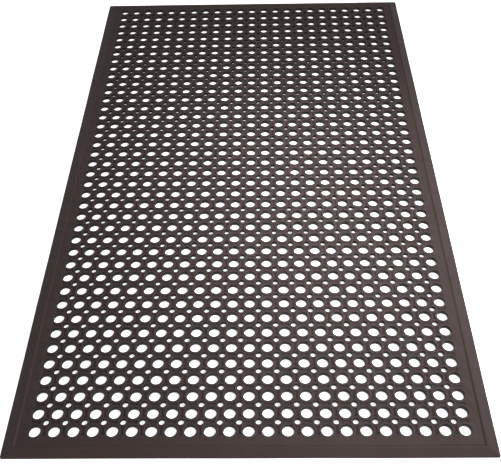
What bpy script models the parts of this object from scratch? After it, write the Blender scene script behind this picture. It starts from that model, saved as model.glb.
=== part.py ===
"""A perforated rubber drainage mat with a bevelled border, three feet by five feet by half an inch.

Metres, +Z up. The origin is on the floor under the middle of the mat, and +Y runs along its length.
The mat is one moulding. It is divided here along its own features: the perforated deck, in a
front and a rear half, and the four mitred ramps that make its border.
"""

import math

import bmesh
import bpy

INCH = 0.0254
WIDTH = 36 * INCH
LENGTH = 60 * INCH
HEIGHT = 0.5 * INCH

# The lattice of drainage holes, centred on the mat.
PITCH = 0.0365
COLUMNS = 23
ROWS = 40
HOLE_DIAMETER = 0.023
HOLE_SIDES = 4

# The deck is a web held off the floor by studs, so that liquid runs away under it.
DECK_TOP = 0.0105
DECK_THICKNESS = 0.0063
STUD_WIDTH = 0.009
STUD_COLUMNS = 8
STUD_COLUMN_STEP = 3
STUD_ROWS = 5
STUD_ROW_STEP = 4
STUD_FIRST_ROW = 1
STUD_OVERLAP = 0.001

# Round the outermost holes the deck is plain, as far as the border's crest.
PLAIN_WIDTH = 0.0293

# A ramp falls from the crest, which stands a little proud of the deck, to a thin toe.
CREST_WIDTH = 0.0030
CREST_ROUNDING = 0.0008
TOE_HEIGHT = 0.003

GAP = 0.0003
WELD_DISTANCE = 0.00001

DECK_COLOUR = (0.068, 0.056, 0.053)
RAMP_COLOUR = (0.062, 0.051, 0.048)
RUBBER_ROUGHNESS = 0.62


def clear_scene():
    for item in list(bpy.data.objects):
        bpy.data.objects.remove(item, do_unlink=True)


def new_collection(name):
    collection = bpy.data.collections.new(name)
    bpy.context.scene.collection.children.link(collection)
    return collection


def rubber(name, colour):
    material = bpy.data.materials.new(name)
    material.use_nodes = True
    shader = material.node_tree.nodes["Principled BSDF"]
    shader.inputs["Base Color"].default_value = (*colour, 1)
    shader.inputs["Roughness"].default_value = RUBBER_ROUGHNESS
    shader.inputs["Metallic"].default_value = 0
    material.diffuse_color = (*colour, 1)
    return material


def add_closed_line(curve, points):
    line = curve.splines.new("POLY")
    line.points.add(len(points) - 1)
    for point, (x, y) in zip(line.points, points, strict=True):
        point.co = (x, y, 0, 1)
    line.use_cyclic_u = True


def flat_outline(name, outlines, thickness, collection):
    """A curve object: the first outline filled, less the others, and thickness deep about Z = 0."""
    curve = bpy.data.curves.new(name, "CURVE")
    curve.dimensions = "2D"
    curve.fill_mode = "BOTH"
    curve.extrude = thickness / 2
    for outline in outlines:
        add_closed_line(curve, outline)
    outlined = bpy.data.objects.new(name, curve)
    collection.objects.link(outlined)
    return outlined


def as_mesh(curved, collection):
    """Replaces a curve object by a mesh object of the same name, with its caps welded on."""
    bpy.context.view_layer.update()
    evaluated = curved.evaluated_get(bpy.context.evaluated_depsgraph_get())
    mesh = bpy.data.meshes.new_from_object(evaluated)
    place = curved.matrix_world.copy()
    name = curved.name
    bpy.data.objects.remove(curved, do_unlink=True)
    welded = bmesh.new()
    welded.from_mesh(mesh)
    bmesh.ops.remove_doubles(welded, verts=welded.verts, dist=WELD_DISTANCE)
    bmesh.ops.recalc_face_normals(welded, faces=welded.faces)
    welded.to_mesh(mesh)
    welded.free()
    mesh.name = name
    made = bpy.data.objects.new(name, mesh)
    made.matrix_world = place
    collection.objects.link(made)
    return made


def add_helper(name, mesh, collection):
    helper = bpy.data.objects.new(name, mesh)
    helper.hide_render = True
    helper.display_type = "WIRE"
    collection.objects.link(helper)
    return helper


def add_boolean(target, operation, helper):
    boolean = target.modifiers.new(helper.name, "BOOLEAN")
    boolean.operation = operation
    boolean.solver = "EXACT"
    boolean.object = helper


def rectangle(x_low, x_high, y_low, y_high):
    return [(x_low, y_low), (x_high, y_low), (x_high, y_high), (x_low, y_high)]


def hole_outline(x, y):
    """A regular polygon, square to the mat, with the open area of the round hole."""
    wedge = 2 * math.pi / HOLE_SIDES
    radius = HOLE_DIAMETER / 2 * math.sqrt(wedge / math.sin(wedge))
    angles = [wedge * (side + 0.5) for side in range(HOLE_SIDES)]
    return [(x + radius * math.cos(angle), y + radius * math.sin(angle)) for angle in angles]


def column_x(column):
    return (column - (COLUMNS - 1) / 2) * PITCH


def row_y(row):
    """A row's distance from the middle of the mat, counted outwards in one half."""
    return (row + 0.5) * PITCH


def crest_x():
    return column_x(COLUMNS - 1) + PLAIN_WIDTH


def crest_y():
    return row_y(ROWS // 2 - 1) + PLAIN_WIDTH


def stud_mesh(name, side):
    """The studs of one half, standing midway between neighbouring holes of a row."""
    floor_to_web = DECK_TOP - DECK_THICKNESS + STUD_OVERLAP
    studs = bmesh.new()
    for i in range(STUD_COLUMNS):
        x = (i - (STUD_COLUMNS - 1) / 2) * STUD_COLUMN_STEP * PITCH
        for j in range(STUD_ROWS):
            y = side * row_y(STUD_FIRST_ROW + j * STUD_ROW_STEP)
            corners = bmesh.ops.create_cube(studs, size=1)["verts"]
            bmesh.ops.scale(studs, verts=corners, vec=(STUD_WIDTH, STUD_WIDTH, floor_to_web))
            bmesh.ops.translate(studs, verts=corners, vec=(x, y, floor_to_web / 2))
    mesh = bpy.data.meshes.new(name)
    studs.to_mesh(mesh)
    studs.free()
    return mesh


def build_deck_half(name, side, material, parts, helpers):
    """side is -1 for the front half and 1 for the rear one."""
    half_width = crest_x() - GAP
    y_ends = sorted((side * GAP / 2, side * (crest_y() - GAP)))
    outlines = [rectangle(-half_width, half_width, *y_ends)]
    for row in range(ROWS // 2):
        for column in range(COLUMNS):
            outlines.append(hole_outline(column_x(column), side * row_y(row)))
    outlined = flat_outline(name, outlines, DECK_THICKNESS, parts)
    outlined.location.z = DECK_TOP - DECK_THICKNESS / 2
    deck = as_mesh(outlined, parts)
    studs = add_helper(name + "_studs", stud_mesh(name + "_studs", side), helpers)
    add_boolean(deck, "UNION", studs)
    deck.data.materials.append(material)


def ramp_outline(width):
    """The ramp's section: out from the deck is +X, and up is +Y."""
    rounded = CREST_ROUNDING * (1 - math.cos(math.pi / 4))
    return [
        (0, 0),
        (width, 0),
        (width, TOE_HEIGHT),
        (CREST_WIDTH, HEIGHT),
        (CREST_ROUNDING, HEIGHT),
        (rounded, HEIGHT - rounded),
        (0, HEIGHT - CREST_ROUNDING),
    ]


def mitre_cutter(name, end, width, next_width, helpers):
    """A block beyond the line from the mat's corner, at its origin, to the corner of the crest."""
    reach = 4 * max(width, next_width)
    block = bmesh.new()
    corners = bmesh.ops.create_cube(block, size=reach)["verts"]
    bmesh.ops.translate(block, verts=corners, vec=(reach / 2 - GAP / 2, 0, 0))
    mesh = bpy.data.meshes.new(name)
    block.to_mesh(mesh)
    block.free()
    cutter = add_helper(name, mesh, helpers)
    cutter.rotation_euler.z = math.atan2(next_width, end * width)
    return cutter


def build_ramp(name, turn, across, along, material, parts, helpers):
    """A ramp of the border. across and along give how far out the crest and the mat's edge lie.

    It is built along X with its toe towards -Y, and its parent turns it to its side of the mat.
    """
    side = bpy.data.objects.new(name + "_side", None)
    side.rotation_euler.z = math.radians(turn)
    parts.objects.link(side)
    width = across[1] - across[0]
    outlined = flat_outline(name, [ramp_outline(width)], 2 * along[1], parts)
    outlined.rotation_euler = (math.radians(90), 0, math.radians(-90))
    ramp = as_mesh(outlined, parts)
    ramp.parent = side
    ramp.location.y = -across[0]
    for end in (-1, 1):
        label = name + ("_left_mitre" if end < 0 else "_right_mitre")
        cutter = mitre_cutter(label, end, width, along[1] - along[0], helpers)
        cutter.parent = side
        cutter.location = (end * along[1], -across[1], 0)
        add_boolean(ramp, "DIFFERENCE", cutter)
    ramp.data.materials.append(material)


def build_mat():
    clear_scene()
    parts = new_collection("anti_fatigue_mat")
    helpers = new_collection("helpers")
    deck_rubber = rubber("deck_rubber", DECK_COLOUR)
    ramp_rubber = rubber("ramp_rubber", RAMP_COLOUR)
    build_deck_half("deck_front", -1, deck_rubber, parts, helpers)
    build_deck_half("deck_rear", 1, deck_rubber, parts, helpers)
    out_x = (crest_x(), WIDTH / 2)
    out_y = (crest_y(), LENGTH / 2)
    build_ramp("ramp_front", 0, out_y, out_x, ramp_rubber, parts, helpers)
    build_ramp("ramp_right", 90, out_x, out_y, ramp_rubber, parts, helpers)
    build_ramp("ramp_rear", 180, out_y, out_x, ramp_rubber, parts, helpers)
    build_ramp("ramp_left", 270, out_x, out_y, ramp_rubber, parts, helpers)


build_mat()
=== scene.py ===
"""The looks of a perforated rubber drainage mat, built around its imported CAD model.

The moulding is remade in fine geometry. The web has drainage holes of two sizes, with raised
collars round them, pockets between the collars, and lips and studs underneath. Round the web
runs the bevelled border. Lengths are in metres, unless a comment says otherwise.
"""

import math

import bmesh
import bpy
import numpy as np
from mathutils import Matrix, Vector


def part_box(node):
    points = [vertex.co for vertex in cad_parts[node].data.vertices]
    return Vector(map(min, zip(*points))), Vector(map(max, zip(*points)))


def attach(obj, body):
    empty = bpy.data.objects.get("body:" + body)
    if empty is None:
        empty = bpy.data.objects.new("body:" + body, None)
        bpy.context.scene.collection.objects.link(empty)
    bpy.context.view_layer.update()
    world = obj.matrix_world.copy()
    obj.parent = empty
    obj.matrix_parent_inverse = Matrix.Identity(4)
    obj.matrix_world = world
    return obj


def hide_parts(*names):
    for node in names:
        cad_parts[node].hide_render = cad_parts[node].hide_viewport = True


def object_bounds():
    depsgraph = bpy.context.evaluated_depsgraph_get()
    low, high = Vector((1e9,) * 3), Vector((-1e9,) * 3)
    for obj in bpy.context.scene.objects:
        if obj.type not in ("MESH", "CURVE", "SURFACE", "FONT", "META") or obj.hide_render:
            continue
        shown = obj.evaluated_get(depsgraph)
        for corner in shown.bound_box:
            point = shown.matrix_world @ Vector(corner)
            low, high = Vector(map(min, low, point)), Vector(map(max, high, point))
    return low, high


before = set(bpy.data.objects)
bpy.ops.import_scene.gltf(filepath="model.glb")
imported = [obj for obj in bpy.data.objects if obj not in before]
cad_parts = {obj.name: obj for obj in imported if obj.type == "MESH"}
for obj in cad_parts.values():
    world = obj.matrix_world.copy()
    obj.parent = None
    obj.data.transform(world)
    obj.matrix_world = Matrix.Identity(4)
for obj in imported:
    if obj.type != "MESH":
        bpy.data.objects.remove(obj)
CAD_BOX = [list(corner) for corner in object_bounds()]

MM = 0.001

# Places that the frame gives.
WIDTH = CAD_BOX[1][0] - CAD_BOX[0][0]
LENGTH = CAD_BOX[1][1] - CAD_BOX[0][1]
CREST = CAD_BOX[1][2]
DECK_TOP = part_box("deck_front")[1][2]
CREST_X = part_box("ramp_right")[0][0]
CREST_Y = -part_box("ramp_front")[1][1]

# The lattice of large drainage holes, as in the CAD model. A cell is the square round one of them.
PITCH = 36.5 * MM
COLUMNS = 23
ROWS = 40
HALF = PITCH / 2
WEB_THICKNESS = 6.3 * MM
WEB_BOTTOM = DECK_TOP - WEB_THICKNESS

# Collars of a large hole and of the small ones round it meet on the diagonals of its cell.
DIAGONAL = PITCH / math.sqrt(2)
COLLAR_RADIUS = 16.0 * MM
SMALL_COLLAR_RADIUS = DIAGONAL - COLLAR_RADIUS

# How round things are: steps in an eighth of a circle.
HOLE_STEPS = 4
SMALL_STEPS = 2
STUD_STEPS = 3

# Sections, as distances from an axis or an edge and heights over the deck's top, in millimetres.
# Those of the two collars go on inwards from the collar's radius.
COLLAR_SECTION = ((15.3, 0.12), (14.0, 0.16), (12.7, 0.04), (11.85, -0.25), (11.45, -0.95))
SMALL_SECTION = ((8.4, 0.14), (7.3, 0.08), (6.3, -0.22), (5.8, -0.95))
POCKET_SECTION = ((0.0, 0.0), (0.30, -0.18), (0.90, -1.25), (1.50, -1.60))

# The same under the web, as heights over its underside: the lips round the holes, and a stud.
HOLE_FOOT = ((11.25, -2.85), (11.5, -3.20), (12.3, -3.20), (12.7, -2.65), (13.1, 0.0))
SMALL_FOOT = ((5.6, -1.20), (5.9, -1.60), (6.8, -1.60), (7.1, -1.20), (7.4, 0.0))
STUD_SECTION = ((4.8, 0.0), (4.4, -0.35), (4.0, -3.75), (3.7, -4.20))

# The border's section, in millimetres, as distances out from the crest's inner face and heights
# over its top. The toe's distances are inwards from the mat's edge, and its heights are over the
# floor. Between brow and toe the ramp is straight.
CREST_SECTION = (
    (0.0, -2.9),
    (0.0, -2.22),
    (0.4, -2.0),
    (1.5, -1.3),
    (2.7, -0.55),
    (3.5, -0.14),
    (4.2, 0.0),
)
BROW_SECTION = ((5.0, -0.10), (5.8, -0.42))
TOE_SECTION = ((0.7, 3.25), (0.2, 2.95), (0.0, 2.45), (0.0, 0.35), (0.3, 0.0))
RAMP_LINES = 6
BORDER_CORNER = 3.5 * MM
BORDER_STEPS = 5
BORDER_PACE = 12 * MM

# The deck is made in strips of whole rows.
STRIPS_IN_HALF = 4
ROWS_IN_STRIP = ROWS // (2 * STRIPS_IN_HALF)

WELD = 0.00001
SHARP_ANGLE = math.radians(50)

# Soft rubber is slightly uneven: it rises, falls and drifts sideways in a sum of long waves.
WAVE_SEED = 7
WAVE_COUNT = 14
WAVE_LENGTH = 70 * MM
WAVE_LENGTH_STEP = 22 * MM
WAVE_HEIGHT = 0.05 * MM
WAVE_DRIFT = 0.09 * MM


class Patch:
    """Points and faces of a piece of surface, before it is welded to its neighbours."""

    def __init__(self):
        self.points = []
        self.faces = []

    def add(self, flat, height):
        start = len(self.points)
        self.points += [(x, y, height) for x, y in flat]
        return list(range(start, len(self.points)))

    def bridge(self, one, other, closed=False):
        last = len(one) if closed else len(one) - 1
        for i in range(last):
            j = (i + 1) % len(one)
            self.faces.append((one[i], one[j], other[j], other[i]))

    def skin(self, lines, closed=False):
        """Faces between each line of points, given as (flat points, height), and the next one."""
        rings = [self.add(flat, height) for flat, height in lines]
        for one, other in zip(rings, rings[1:]):
            self.bridge(one, other, closed)
        return rings

    def cap(self, flat, height):
        self.faces.append(tuple(self.add(flat, height)))


def arc(centre, radius, start, end, steps):
    """Points on an arc between two angles in degrees, both ends included."""
    angles = [math.radians(start + (end - start) * i / steps) for i in range(steps + 1)]
    return [(centre[0] + radius * math.cos(t), centre[1] + radius * math.sin(t)) for t in angles]


def turned(flat, quarters):
    """Points turned by quarter turns about the hole's axis."""
    for _ in range(quarters):
        flat = [(-y, x) for x, y in flat]
    return flat


def hole_lines(collar_radius, section, foot):
    """Radii and heights from a collar's outer edge, down the hole's wall and round its lip."""
    lines = [(collar_radius, DECK_TOP)]
    lines += [(radius * MM, DECK_TOP + height * MM) for radius, height in section]
    lines += [(radius * MM, WEB_BOTTOM + height * MM) for radius, height in foot]
    return lines


def add_hole(patch):
    rings = []
    for radius, height in hole_lines(COLLAR_RADIUS, COLLAR_SECTION, HOLE_FOOT):
        rings.append((arc((0, 0), radius, 0, 360, 8 * HOLE_STEPS)[:-1], height))
    patch.skin(rings, closed=True)


def add_small_hole(patch, quarters):
    """The quarter of a small hole that lies in this cell, at the corner after the given side."""
    lines = []
    for radius, height in hole_lines(SMALL_COLLAR_RADIUS, SMALL_SECTION, SMALL_FOOT):
        flat = arc((HALF, HALF), radius, 180, 270, 2 * SMALL_STEPS)
        lines.append((turned(flat, quarters), height))
    patch.skin(lines)


def pocket_outline(inset):
    """Half of the outline of a pocket that is inset from the collars round it.

    It runs from the cell's side at +X round the collars of the corner, the hole and the other
    corner, and back to the side.
    """
    large = COLLAR_RADIUS + inset
    small = SMALL_COLLAR_RADIUS + inset
    at_hole = (large**2 + DIAGONAL**2 - small**2) / (2 * large * DIAGONAL)
    at_corner = (small**2 + DIAGONAL**2 - large**2) / (2 * small * DIAGONAL)
    back = math.degrees(math.acos(min(1, at_hole)))
    round_corner = math.degrees(math.acos(min(1, at_corner)))
    upper = arc((HALF, HALF), small, 270, 225 + round_corner, SMALL_STEPS)
    middle = arc((0, 0), large, 45 - back, back - 45, 2 * HOLE_STEPS)
    lower = arc((HALF, -HALF), small, 135 - round_corner, 90, SMALL_STEPS)
    return upper[:-1] + middle + lower[1:]


def add_pocket(patch, quarters):
    lines = []
    for inset, height in POCKET_SECTION:
        lines.append((turned(pocket_outline(inset * MM), quarters), DECK_TOP + height * MM))
    patch.skin(lines)
    patch.cap(*lines[-1])


def add_stud(patch, quarters):
    """The half of a stud that stands under the middle of the cell's side."""
    lines = []
    for radius, height in STUD_SECTION:
        flat = arc((HALF, 0), radius * MM, 90, 270, 4 * STUD_STEPS)
        lines.append((turned(flat, quarters), WEB_BOTTOM + height * MM))
    patch.skin(lines)
    patch.cap(*lines[-1])


def underside(side_out, before_out, after_out, reaches, has_stud):
    """Outline of the web's underside between two diagonals, for the side at +X."""
    before, side, after = reaches
    outline = arc((0, 0), HOLE_FOOT[-1][0] * MM, 45, -45, 2 * HOLE_STEPS)
    small_foot = SMALL_FOOT[-1][0] * MM
    if side_out or before_out:
        outline += [(HALF, -HALF)]
    else:
        outline += arc((HALF, -HALF), small_foot, 135, 90, SMALL_STEPS)
    if side_out:
        outline += [(side, -before), (side, after)]
    elif has_stud:
        outline += arc((HALF, 0), STUD_SECTION[0][0] * MM, 270, 90, 4 * STUD_STEPS)
    if side_out or after_out:
        outline += [(HALF, HALF)]
    else:
        outline += arc((HALF, HALF), small_foot, 270, 225, SMALL_STEPS)
    return outline


def margin(before_out, after_out, reaches):
    """Outline of the plain top between the collar and the border, for the side at +X."""
    before, side, after = reaches
    outline = arc((0, 0), COLLAR_RADIUS, 45, -45, 2 * HOLE_STEPS)
    if not before_out:
        outline += arc((HALF, -HALF), SMALL_COLLAR_RADIUS, 135, 180, SMALL_STEPS)[1:]
    outline += [(side, -before), (side, after)]
    if not after_out:
        outline += arc((HALF, HALF), SMALL_COLLAR_RADIUS, 180, 225, SMALL_STEPS)[:-1]
    return outline


def make_cell(out_x, out_y):
    """The moulding round one large hole. out_x and out_y say on which sides the margin lies.

    The cell's sides are taken in turn, each with the sides before and after it.
    """
    patch = Patch()
    add_hole(patch)
    margins = (CREST_X - (COLUMNS - 1) / 2 * PITCH, CREST_Y - (ROWS - 1) / 2 * PITCH)
    sides_out = (out_x > 0, out_y > 0, out_x < 0, out_y < 0)
    reaches = [margins[i % 2] if out else HALF for i, out in enumerate(sides_out)]
    for quarters, side_out in enumerate(sides_out):
        before_out = sides_out[quarters - 1]
        after_out = sides_out[(quarters + 1) % 4]
        nearby = (reaches[quarters - 1], reaches[quarters], reaches[(quarters + 1) % 4])
        has_stud = quarters % 2 == 0
        under = underside(side_out, before_out, after_out, nearby, has_stud)
        patch.cap(turned(under, quarters), WEB_BOTTOM)
        if side_out:
            patch.cap(turned(margin(before_out, after_out, nearby), quarters), DECK_TOP)
            edge = turned([(nearby[1], -nearby[0]), (nearby[1], nearby[2])], quarters)
            patch.skin([(edge, DECK_TOP), (edge, WEB_BOTTOM)])
        else:
            add_pocket(patch, quarters)
            if has_stud:
                add_stud(patch, quarters)
        if not (side_out or after_out):
            add_small_hole(patch, quarters)
    return np.array(patch.points), patch.faces


WAVES = np.random.default_rng(WAVE_SEED).uniform(-1, 1, (WAVE_COUNT, 4))


def moulded(points):
    """The points moved by the waves. Their rise and fall fades to nothing at the floor."""
    x, y = points[:, 0], points[:, 1]
    moved = points.copy()
    for number, (across, along, shift, drift) in enumerate(WAVES):
        length = WAVE_LENGTH + number * WAVE_LENGTH_STEP
        wave = np.sin(2 * math.pi * ((across * x + along * y) / length + shift))
        moved[:, 2] += WAVE_HEIGHT * wave * points[:, 2] / CREST
        moved[:, number % 2] += WAVE_DRIFT * wave * drift
    return moved


def closed_mesh(name, points, faces):
    """A mesh of the moulding: welded, with any open end filled, and shaded smooth but for edges."""
    mesh = bpy.data.meshes.new(name)
    mesh.from_pydata(points, [], faces)
    solid = bmesh.new()
    solid.from_mesh(mesh)
    bmesh.ops.remove_doubles(solid, verts=solid.verts, dist=WELD)
    open_edges = [edge for edge in solid.edges if edge.is_boundary]
    bmesh.ops.holes_fill(solid, edges=open_edges, sides=0)
    bmesh.ops.recalc_face_normals(solid, faces=solid.faces)
    solid.to_mesh(mesh)
    solid.free()
    places = np.empty(3 * len(mesh.vertices))
    mesh.vertices.foreach_get("co", places)
    mesh.vertices.foreach_set("co", moulded(places.reshape(-1, 3)).ravel())
    mesh.shade_smooth()
    mesh.set_sharp_from_angle(angle=SHARP_ANGLE)
    return mesh


def new_piece(name, mesh, material, slot, *nodes):
    piece = bpy.data.objects.new(name, mesh)
    bpy.context.scene.collection.objects.link(piece)
    mesh.materials.append(material)
    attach(piece, "root")
    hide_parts(*nodes)


def make_strip(name, first_row, cells, material, node):
    points, faces, count = [], [], 0
    for row in range(first_row, first_row + ROWS_IN_STRIP):
        for column in range(COLUMNS):
            out_x = (column == COLUMNS - 1) - (column == 0)
            out_y = (row == ROWS - 1) - (row == 0)
            cell_points, cell_faces = cells[out_x, out_y]
            x = (column - (COLUMNS - 1) / 2) * PITCH
            y = (row - (ROWS - 1) / 2) * PITCH
            points.append(cell_points + (x, y, 0))
            faces += [tuple(i + count for i in face) for face in cell_faces]
            count += len(cell_points)
    mesh = closed_mesh(name, np.concatenate(points), faces)
    new_piece(name, mesh, material, "deck_rubber", node)


def border_section(width):
    """Distances outwards from the crest's inner face, and heights over the floor."""
    section = [(0, 0)]
    for out, height in CREST_SECTION + BROW_SECTION:
        section.append((out * MM, CREST + height * MM))
    top = section[-1]
    toe = [(width - inwards * MM, height * MM) for inwards, height in TOE_SECTION]
    for line in range(1, RAMP_LINES):
        share = line / RAMP_LINES
        section.append(tuple(a + (b - a) * share for a, b in zip(top, toe[0])))
    return section + toe


def border_line(out, next_out, width, crest, next_crest):
    """Plan of one line of the border, on the side at -Y, from one mitre to the other.

    out and next_out are the line's distances from the crest on this side and on the next one.
    """
    radius = BORDER_CORNER * out / width
    reach = next_crest + next_out - radius
    centre_y = -(crest + out - radius)
    count = round(2 * next_crest / BORDER_PACE)
    straight = [(reach * (2 * i / count - 1), centre_y - radius) for i in range(count + 1)]
    left = arc((-reach, centre_y), radius, 225, 270, BORDER_STEPS)[:-1]
    right = arc((reach, centre_y), radius, 270, 315, BORDER_STEPS)[1:]
    return left + straight + right


def make_border(name, quarters, material, node):
    """One side of the border, which is the side at -Y turned by quarter turns."""
    crests, edges = (CREST_X, CREST_Y), (WIDTH / 2, LENGTH / 2)
    across, along = (1, 0) if quarters % 2 == 0 else (0, 1)
    width = edges[across] - crests[across]
    section = border_section(width)
    next_section = border_section(edges[along] - crests[along])
    lines = []
    for (out, height), (next_out, _) in zip(section, next_section):
        line = border_line(out, next_out, width, crests[across], crests[along])
        lines.append((turned(line, quarters), height))
    patch = Patch()
    rings = patch.skin(lines)
    patch.bridge(rings[-1], rings[0])
    patch.faces += [tuple(ring[0] for ring in rings), tuple(ring[-1] for ring in rings)]
    mesh = closed_mesh(name, patch.points, patch.faces)
    new_piece(name, mesh, material, "ramp_rubber", node)


# Colours: the darkest is unused rubber and also painted shade in the hole walls, pockets and toe;
# the paler ones are rubbed rubber and also painted light on high upward tops, the dusty ones with
# dust.
FRESH_AND_SHADED_RUBBER = (0.0080, 0.0062, 0.0060, 1)
SCUFFED_AND_LIT_DECK = (0.0511, 0.0348, 0.0320, 1)
DUSTY_DECK = (0.0650, 0.0458, 0.0421, 1)
SCUFFED_AND_LIT_RAMP = (0.0520, 0.0353, 0.0325, 1)
DUSTY_RAMP = (0.0660, 0.0465, 0.0428, 1)
SPECULAR_LEVEL = 0.25

# Rubber is darkest up to the first height and palest above the second one: partly rubbing of the
# tops, partly painted shade in the hole walls, pockets and toe, and painted light on the tops.
DECK_WEAR_AND_SHADE_HEIGHTS = (DECK_TOP - 3.2 * MM, DECK_TOP - 0.3 * MM)
RAMP_WEAR_AND_SHADE_HEIGHTS = (0, 2 * MM)

# The same for how far a face looks upwards, as the Z of its normal: sideways walls get painted
# shade, and faces that look up get painted light as well as rubbing.
UPWARD_WEAR_AND_LIGHT = (0.25, 0.85)

# Patterns: the noise's size, detail and roughness, the span of it that is used, and its results.
CLOUDS = (0.07, 7, 0.7, (0.3, 0.7), (0.80, 1.0))
DUST = (0.0026, 5, 0.65, (0.5, 0.72), (0, 0.55))
GRAIN = (0.0012, 4, 0.7, (0.3, 0.7), (0.78, 1.2))
ROUGHNESS = (0.02, 5, 0.5, (0.3, 0.7), (0.56, 0.74))

# Unevenness of the surface: the noise's size, detail and roughness, then its depth and strength.
SKIN = (0.0008, 4, 0.6, 0.00025, 0.45)
RIPPLE = (0.014, 3, 0.5, 0.0012, 0.25)


class Shader:
    """A material whose nodes are added by short calls, all of them placed by object coordinates."""

    def __init__(self, name):
        self.material = bpy.data.materials.new(name)
        self.material.use_nodes = True
        self.tree = self.material.node_tree
        self.surface = self.tree.nodes["Principled BSDF"]
        self.place = self.tree.nodes.new("ShaderNodeTexCoord").outputs["Object"]

    def node(self, kind, inputs, **settings):
        """A new node. Its inputs go by name or by number."""
        node = self.tree.nodes.new(kind)
        for name, value in settings.items():
            setattr(node, name, value)
        for name, value in inputs.items():
            self.set(node.inputs[name], value)
        return node

    def set(self, socket, value):
        if isinstance(value, bpy.types.NodeSocket):
            self.tree.links.new(value, socket)
        else:
            socket.default_value = value

    def noise(self, size, detail, roughness):
        """Noise whose largest features measure about the given size."""
        inputs = {"Vector": self.place, "Scale": 1 / size, "Detail": detail, "Roughness": roughness}
        return self.node("ShaderNodeTexNoise", inputs).outputs["Fac"]

    def spread(self, value, span, results=(0, 1)):
        """A value that goes from the first result to the second along the span."""
        inputs = {
            "Value": value,
            "From Min": span[0],
            "From Max": span[1],
            "To Min": results[0],
            "To Max": results[1],
        }
        return self.node("ShaderNodeMapRange", inputs).outputs["Result"]

    def pattern(self, size, detail, roughness, span, results):
        return self.spread(self.noise(size, detail, roughness), span, results)

    def product(self, one, other):
        return self.node("ShaderNodeMath", {0: one, 1: other}, operation="MULTIPLY").outputs[0]

    def mix(self, share, one, other, blend="MIX"):
        """A mix of two colours. Inputs 6 and 7 and output 2 of the node are the ones for colours."""
        node = self.tree.nodes.new("ShaderNodeMix")
        node.data_type = "RGBA"
        node.blend_type = blend
        for number, value in ((0, share), (6, one), (7, other)):
            self.set(node.inputs[number], value)
        return node.outputs[2]

    def bump(self, size, detail, roughness, depth, strength, below=None):
        """A surface normal with noise in it, on top of the bump below."""
        height = self.noise(size, detail, roughness)
        inputs = {"Height": height, "Distance": depth, "Strength": strength}
        if below is not None:
            inputs["Normal"] = below
        return self.node("ShaderNodeBump", inputs).outputs["Normal"]


def rubber(name, wear_and_shade_heights, scuffed_and_lit_rubber, dusty_rubber):
    """Black rubber with a brown cast, paler where it is high and looks upwards: partly rubbing and
    partly painted light on the tops, with painted shade in the hole walls and pockets.
    """
    shader = Shader(name)
    height = shader.node("ShaderNodeSeparateXYZ", {0: shader.place}).outputs["Z"]
    normal = shader.tree.nodes.new("ShaderNodeNewGeometry").outputs["Normal"]
    upwards = shader.node("ShaderNodeSeparateXYZ", {0: normal}).outputs["Z"]
    # Painted light and shade: high upward faces are painted paler and the hole walls and pockets
    # darker, partly as rubbing of the tops.
    worn_and_lit = shader.product(shader.spread(height, wear_and_shade_heights), shader.spread(upwards, UPWARD_WEAR_AND_LIGHT))
    scuffed_and_lit = shader.product(worn_and_lit, shader.pattern(*CLOUDS))
    colour = shader.mix(scuffed_and_lit, FRESH_AND_SHADED_RUBBER, scuffed_and_lit_rubber)
    dust = shader.product(shader.pattern(*DUST), scuffed_and_lit)
    colour = shader.mix(dust, colour, dusty_rubber)
    colour = shader.mix(1, colour, shader.pattern(*GRAIN), "MULTIPLY")
    shader.set(shader.surface.inputs["Base Color"], colour)
    shader.set(shader.surface.inputs["Roughness"], shader.pattern(*ROUGHNESS))
    shader.surface.inputs["Specular IOR Level"].default_value = SPECULAR_LEVEL
    skin = shader.bump(*SKIN)
    shader.set(shader.surface.inputs["Normal"], shader.bump(*RIPPLE, below=skin))
    return shader.material


def make_mat():
    deck_rubber = rubber("deck_rubber_moulded", DECK_WEAR_AND_SHADE_HEIGHTS, SCUFFED_AND_LIT_DECK, DUSTY_DECK)
    ramp_rubber = rubber("ramp_rubber_moulded", RAMP_WEAR_AND_SHADE_HEIGHTS, SCUFFED_AND_LIT_RAMP, DUSTY_RAMP)
    cells = {(x, y): make_cell(x, y) for x in (-1, 0, 1) for y in (-1, 0, 1)}
    for number in range(2 * STRIPS_IN_HALF):
        half = "front" if number < STRIPS_IN_HALF else "rear"
        name = f"web_{half}_{number % STRIPS_IN_HALF + 1}"
        make_strip(name, number * ROWS_IN_STRIP, cells, deck_rubber, f"deck_{half}")
    for quarters, side in enumerate(("front", "right", "rear", "left")):
        make_border(f"border_{side}", quarters, ramp_rubber, f"ramp_{side}")


FLOOR_RADIUS = 60
FLOOR_SIDES = 96
FLOOR_COLOUR = (0.95, 0.95, 0.95, 1)
FLOOR_ROUGHNESS = 0.9
FLOOR_GLOW = 0.8

WHITE = (1, 1, 1, 1)
ROOM_LIGHT = 0.34
BACKDROP_LIGHT = 1.0

# Softboxes: place, target, length, width, spread in degrees, and power in watts. The key light
# stands high on the right, and the pool adds to it in the middle of the mat and right of that.
KEY_LIGHT = ((1.5, -0.7, 2.1), (0, 0, 0), 1.0, 0.6, 180, 50)
POOL_LIGHT = ((0.6, -0.05, 1.7), (0.15, -0.13, 0), 0.86, 0.3, 33, 2.15)

# The camera stands at the near end, above and a little right of the mat's middle.
CAMERA_PLACE = (0.0304, -1.3311, 1.2687)
CAMERA_AIM = (-0.01789, 0.66138, -0.74984)
CAMERA_RIGHT = (0.99981, 0.00572, -0.01881)
CAMERA_LENS = 52.31
CAMERA_SENSOR = 36


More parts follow.
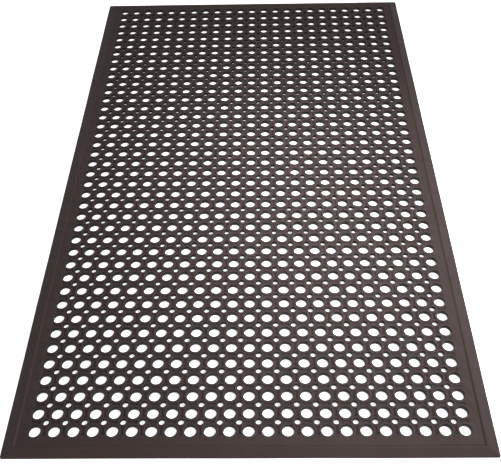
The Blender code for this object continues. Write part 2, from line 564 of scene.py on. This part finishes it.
def make_floor():
    """A wide white floor, which glows a little so that it looks as white as the backdrop."""
    bpy.ops.mesh.primitive_circle_add(vertices=FLOOR_SIDES, radius=FLOOR_RADIUS, fill_type="NGON")
    floor = bpy.context.object
    floor.name = "floor"
    material = bpy.data.materials.new("floor_white")
    material.use_nodes = True
    shader = material.node_tree.nodes["Principled BSDF"]
    shader.inputs["Base Color"].default_value = FLOOR_COLOUR
    shader.inputs["Roughness"].default_value = FLOOR_ROUGHNESS
    shader.inputs["Emission Color"].default_value = WHITE
    shader.inputs["Emission Strength"].default_value = FLOOR_GLOW
    floor.data.materials.append(material)


def add_softbox(name, place, target, length, width, spread, power):
    light = bpy.data.lights.new(name, "AREA")
    light.spread = math.radians(spread)
    light.shape = "RECTANGLE"
    light.size = length
    light.size_y = width
    light.energy = power
    lamp = bpy.data.objects.new(name, light)
    bpy.context.scene.collection.objects.link(lamp)
    lamp.location = place
    aim = Vector(target) - Vector(place)
    lamp.rotation_euler = aim.to_track_quat("-Z", "Y").to_euler()


def make_lights():
    """A room that lights the mat softly but looks white as a backdrop, and the softboxes."""
    world = bpy.data.worlds.new("studio")
    bpy.context.scene.world = world
    world.use_nodes = True
    tree = world.node_tree
    background = tree.nodes["Background"]
    background.inputs["Color"].default_value = WHITE
    seen = tree.nodes.new("ShaderNodeLightPath").outputs["Is Camera Ray"]
    strength = tree.nodes.new("ShaderNodeMapRange")
    strength.inputs["To Min"].default_value = ROOM_LIGHT
    strength.inputs["To Max"].default_value = BACKDROP_LIGHT
    tree.links.new(seen, strength.inputs["Value"])
    tree.links.new(strength.outputs["Result"], background.inputs["Strength"])
    add_softbox("key", *KEY_LIGHT)
    add_softbox("pool", *POOL_LIGHT)


def make_camera():
    data = bpy.data.cameras.new("camera")
    data.sensor_width = CAMERA_SENSOR
    data.lens = CAMERA_LENS
    camera = bpy.data.objects.new("camera", data)
    bpy.context.scene.collection.objects.link(camera)
    aim = Vector(CAMERA_AIM).normalized()
    right = Vector(CAMERA_RIGHT)
    right = (right - aim * right.dot(aim)).normalized()
    up = right.cross(aim)
    turn = Matrix((right, up, -aim)).transposed()
    camera.matrix_world = Matrix.Translation(CAMERA_PLACE) @ turn.to_4x4()
    bpy.context.scene.camera = camera


make_mat()
make_floor()
make_lights()
make_camera()
bpy.context.scene.view_settings.view_transform = "Standard"
